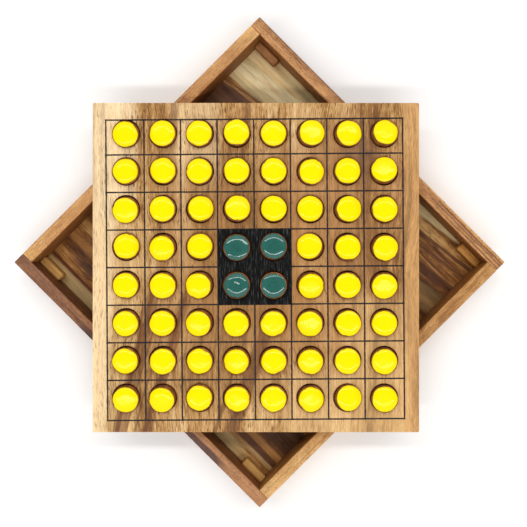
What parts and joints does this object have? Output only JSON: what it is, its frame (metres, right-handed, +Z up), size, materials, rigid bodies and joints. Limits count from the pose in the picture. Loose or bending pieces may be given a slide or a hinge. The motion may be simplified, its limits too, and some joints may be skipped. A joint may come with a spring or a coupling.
{
  "type": "reversing disc board game",
  "caption": "Square wooden board with a grid of round pockets, a loose two-coloured enamelled disc in each, lying turned on its open wooden storage tray.",
  "frame": {"origin": "middle of the tray's flat underside", "axes": "+Z up, from the underside towards the discs; X along the tray's two long walls; Y from the front wall to the back wall. The board's own sides lie at 45 degrees to X and Y"},
  "size_m": [0.3232, 0.3232, 0.0507],
  "materials": {
    "board_wood": "thin satin varnish over streaky two-tone hardwood, printed grid, black-stained middle square",
    "floor_wood": "satin varnish over dark streaked hardwood with pale sapwood bands",
    "tray_wood": "satin varnish over brown hardwood",
    "ledge_wood": "satin varnish over yellowish tan hardwood",
    "yellow_up_disc": "thick glossy enamel on both ends, yellow above and teal green below, bare brown wooden side",
    "green_up_disc": "thick glossy enamel on both ends, teal green above and yellow below, bare brown wooden side"
  },
  "bodies": {
    "tray": {"ledge_block_back_left": "ledge_wood", "ledge_block_back_right": "ledge_wood", "ledge_block_front_left": "ledge_wood", "ledge_block_front_right": "ledge_wood", "tray_floor": "floor_wood", "tray_wall_back": "tray_wood", "tray_wall_front": "tray_wood", "tray_wall_left": "tray_wood", "tray_wall_right": "tray_wood"},
    "board": {"board": "board_wood"},
    "disc_b2": {"disc_b2": "yellow_up_disc"},
    "disc_b3": {"disc_b3": "yellow_up_disc"},
    "disc_b4": {"disc_b4": "yellow_up_disc"},
    "disc_b5": {"disc_b5": "yellow_up_disc"},
    "disc_b6": {"disc_b6": "yellow_up_disc"},
    "disc_b7": {"disc_b7": "yellow_up_disc"},
    "disc_c2": {"disc_c2": "yellow_up_disc"},
    "disc_c3": {"disc_c3": "yellow_up_disc"},
    "disc_c4": {"disc_c4": "yellow_up_disc"},
    "disc_c5": {"disc_c5": "yellow_up_disc"},
    "disc_c6": {"disc_c6": "yellow_up_disc"},
    "disc_c7": {"disc_c7": "yellow_up_disc"},
    "disc_d2": {"disc_d2": "yellow_up_disc"},
    "disc_d3": {"disc_d3": "yellow_up_disc"},
    "disc_d4": {"disc_d4": "green_up_disc"},
    "disc_d5": {"disc_d5": "green_up_disc"},
    "disc_d6": {"disc_d6": "yellow_up_disc"},
    "disc_d7": {"disc_d7": "yellow_up_disc"},
    "disc_e2": {"disc_e2": "yellow_up_disc"},
    "disc_e3": {"disc_e3": "yellow_up_disc"},
    "disc_e4": {"disc_e4": "green_up_disc"},
    "disc_e5": {"disc_e5": "green_up_disc"},
    "disc_e6": {"disc_e6": "yellow_up_disc"},
    "disc_e7": {"disc_e7": "yellow_up_disc"},
    "disc_f2": {"disc_f2": "yellow_up_disc"},
    "disc_f3": {"disc_f3": "yellow_up_disc"},
    "disc_f4": {"disc_f4": "yellow_up_disc"},
    "disc_f5": {"disc_f5": "yellow_up_disc"},
    "disc_f6": {"disc_f6": "yellow_up_disc"},
    "disc_f7": {"disc_f7": "yellow_up_disc"},
    "disc_g2": {"disc_g2": "yellow_up_disc"},
    "disc_g3": {"disc_g3": "yellow_up_disc"},
    "disc_g4": {"disc_g4": "yellow_up_disc"},
    "disc_g5": {"disc_g5": "yellow_up_disc"},
    "disc_g6": {"disc_g6": "yellow_up_disc"},
    "disc_g7": {"disc_g7": "yellow_up_disc"},
    "discs_a1_b1": {"discs_a1_b1": "yellow_up_disc"},
    "discs_a3_a2": {"discs_a3_a2": "yellow_up_disc"},
    "discs_a5_a4": {"discs_a5_a4": "yellow_up_disc"},
    "discs_a7_a6": {"discs_a7_a6": "yellow_up_disc"},
    "discs_b8_a8": {"discs_b8_a8": "yellow_up_disc"},
    "discs_c1_d1": {"discs_c1_d1": "yellow_up_disc"},
    "discs_d8_c8": {"discs_d8_c8": "yellow_up_disc"},
    "discs_e1_f1": {"discs_e1_f1": "yellow_up_disc"},
    "discs_f8_e8": {"discs_f8_e8": "yellow_up_disc"},
    "discs_g1_h1": {"discs_g1_h1": "yellow_up_disc"},
    "discs_h2_h3": {"discs_h2_h3": "yellow_up_disc"},
    "discs_h4_h5": {"discs_h4_h5": "yellow_up_disc"},
    "discs_h6_h7": {"discs_h6_h7": "yellow_up_disc"},
    "discs_h8_g8": {"discs_h8_g8": "yellow_up_disc"}
  },
  "joints": [
    {"name": "lift_board", "type": "slide", "parent": "tray", "child": "board", "axis": [0, 0, 1], "range_m": [0, 0.06]},
    {"name": "lift_disc_b2", "type": "slide", "parent": "board", "child": "disc_b2", "axis": [0, 0, 1], "range_m": [0, 0.03]},
    {"name": "lift_disc_b3", "type": "slide", "parent": "board", "child": "disc_b3", "axis": [0, 0, 1], "range_m": [0, 0.03]},
    {"name": "lift_disc_b4", "type": "slide", "parent": "board", "child": "disc_b4", "axis": [0, 0, 1], "range_m": [0, 0.03]},
    {"name": "lift_disc_b5", "type": "slide", "parent": "board", "child": "disc_b5", "axis": [0, 0, 1], "range_m": [0, 0.03]},
    {"name": "lift_disc_b6", "type": "slide", "parent": "board", "child": "disc_b6", "axis": [0, 0, 1], "range_m": [0, 0.03]},
    {"name": "lift_disc_b7", "type": "slide", "parent": "board", "child": "disc_b7", "axis": [0, 0, 1], "range_m": [0, 0.03]},
    {"name": "lift_disc_c2", "type": "slide", "parent": "board", "child": "disc_c2", "axis": [0, 0, 1], "range_m": [0, 0.03]},
    {"name": "lift_disc_c3", "type": "slide", "parent": "board", "child": "disc_c3", "axis": [0, 0, 1], "range_m": [0, 0.03]},
    {"name": "lift_disc_c4", "type": "slide", "parent": "board", "child": "disc_c4", "axis": [0, 0, 1], "range_m": [0, 0.03]},
    {"name": "lift_disc_c5", "type": "slide", "parent": "board", "child": "disc_c5", "axis": [0, 0, 1], "range_m": [0, 0.03]},
    {"name": "lift_disc_c6", "type": "slide", "parent": "board", "child": "disc_c6", "axis": [0, 0, 1], "range_m": [0, 0.03]},
    {"name": "lift_disc_c7", "type": "slide", "parent": "board", "child": "disc_c7", "axis": [0, 0, 1], "range_m": [0, 0.03]},
    {"name": "lift_disc_d2", "type": "slide", "parent": "board", "child": "disc_d2", "axis": [0, 0, 1], "range_m": [0, 0.03]},
    {"name": "lift_disc_d3", "type": "slide", "parent": "board", "child": "disc_d3", "axis": [0, 0, 1], "range_m": [0, 0.03]},
    {"name": "lift_disc_d4", "type": "slide", "parent": "board", "child": "disc_d4", "axis": [0, 0, 1], "range_m": [0, 0.03]},
    {"name": "lift_disc_d5", "type": "slide", "parent": "board", "child": "disc_d5", "axis": [0, 0, 1], "range_m": [0, 0.03]},
    {"name": "lift_disc_d6", "type": "slide", "parent": "board", "child": "disc_d6", "axis": [0, 0, 1], "range_m": [0, 0.03]},
    {"name": "lift_disc_d7", "type": "slide", "parent": "board", "child": "disc_d7", "axis": [0, 0, 1], "range_m": [0, 0.03]},
    {"name": "lift_disc_e2", "type": "slide", "parent": "board", "child": "disc_e2", "axis": [0, 0, 1], "range_m": [0, 0.03]},
    {"name": "lift_disc_e3", "type": "slide", "parent": "board", "child": "disc_e3", "axis": [0, 0, 1], "range_m": [0, 0.03]},
    {"name": "lift_disc_e4", "type": "slide", "parent": "board", "child": "disc_e4", "axis": [0, 0, 1], "range_m": [0, 0.03]},
    {"name": "lift_disc_e5", "type": "slide", "parent": "board", "child": "disc_e5", "axis": [0, 0, 1], "range_m": [0, 0.03]},
    {"name": "lift_disc_e6", "type": "slide", "parent": "board", "child": "disc_e6", "axis": [0, 0, 1], "range_m": [0, 0.03]},
    {"name": "lift_disc_e7", "type": "slide", "parent": "board", "child": "disc_e7", "axis": [0, 0, 1], "range_m": [0, 0.03]},
    {"name": "lift_disc_f2", "type": "slide", "parent": "board", "child": "disc_f2", "axis": [0, 0, 1], "range_m": [0, 0.03]},
    {"name": "lift_disc_f3", "type": "slide", "parent": "board", "child": "disc_f3", "axis": [0, 0, 1], "range_m": [0, 0.03]},
    {"name": "lift_disc_f4", "type": "slide", "parent": "board", "child": "disc_f4", "axis": [0, 0, 1], "range_m": [0, 0.03]},
    {"name": "lift_disc_f5", "type": "slide", "parent": "board", "child": "disc_f5", "axis": [0, 0, 1], "range_m": [0, 0.03]},
    {"name": "lift_disc_f6", "type": "slide", "parent": "board", "child": "disc_f6", "axis": [0, 0, 1], "range_m": [0, 0.03]},
    {"name": "lift_disc_f7", "type": "slide", "parent": "board", "child": "disc_f7", "axis": [0, 0, 1], "range_m": [0, 0.03]},
    {"name": "lift_disc_g2", "type": "slide", "parent": "board", "child": "disc_g2", "axis": [0, 0, 1], "range_m": [0, 0.03]},
    {"name": "lift_disc_g3", "type": "slide", "parent": "board", "child": "disc_g3", "axis": [0, 0, 1], "range_m": [0, 0.03]},
    {"name": "lift_disc_g4", "type": "slide", "parent": "board", "child": "disc_g4", "axis": [0, 0, 1], "range_m": [0, 0.03]},
    {"name": "lift_disc_g5", "type": "slide", "parent": "board", "child": "disc_g5", "axis": [0, 0, 1], "range_m": [0, 0.03]},
    {"name": "lift_disc_g6", "type": "slide", "parent": "board", "child": "disc_g6", "axis": [0, 0, 1], "range_m": [0, 0.03]},
    {"name": "lift_disc_g7", "type": "slide", "parent": "board", "child": "disc_g7", "axis": [0, 0, 1], "range_m": [0, 0.03]},
    {"name": "lift_discs_a1_b1", "type": "slide", "parent": "board", "child": "discs_a1_b1", "axis": [0, 0, 1], "range_m": [0, 0.03]},
    {"name": "lift_discs_a3_a2", "type": "slide", "parent": "board", "child": "discs_a3_a2", "axis": [0, 0, 1], "range_m": [0, 0.03]},
    {"name": "lift_discs_a5_a4", "type": "slide", "parent": "board", "child": "discs_a5_a4", "axis": [0, 0, 1], "range_m": [0, 0.03]},
    {"name": "lift_discs_a7_a6", "type": "slide", "parent": "board", "child": "discs_a7_a6", "axis": [0, 0, 1], "range_m": [0, 0.03]},
    {"name": "lift_discs_b8_a8", "type": "slide", "parent": "board", "child": "discs_b8_a8", "axis": [0, 0, 1], "range_m": [0, 0.03]},
    {"name": "lift_discs_c1_d1", "type": "slide", "parent": "board", "child": "discs_c1_d1", "axis": [0, 0, 1], "range_m": [0, 0.03]},
    {"name": "lift_discs_d8_c8", "type": "slide", "parent": "board", "child": "discs_d8_c8", "axis": [0, 0, 1], "range_m": [0, 0.03]},
    {"name": "lift_discs_e1_f1", "type": "slide", "parent": "board", "child": "discs_e1_f1", "axis": [0, 0, 1], "range_m": [0, 0.03]},
    {"name": "lift_discs_f8_e8", "type": "slide", "parent": "board", "child": "discs_f8_e8", "axis": [0, 0, 1], "range_m": [0, 0.03]},
    {"name": "lift_discs_g1_h1", "type": "slide", "parent": "board", "child": "discs_g1_h1", "axis": [0, 0, 1], "range_m": [0, 0.03]},
    {"name": "lift_discs_h2_h3", "type": "slide", "parent": "board", "child": "discs_h2_h3", "axis": [0, 0, 1], "range_m": [0, 0.03]},
    {"name": "lift_discs_h4_h5", "type": "slide", "parent": "board", "child": "discs_h4_h5", "axis": [0, 0, 1], "range_m": [0, 0.03]},
    {"name": "lift_discs_h6_h7", "type": "slide", "parent": "board", "child": "discs_h6_h7", "axis": [0, 0, 1], "range_m": [0, 0.03]},
    {"name": "lift_discs_h8_g8", "type": "slide", "parent": "board", "child": "discs_h8_g8", "axis": [0, 0, 1], "range_m": [0, 0.03]}
  ]
}
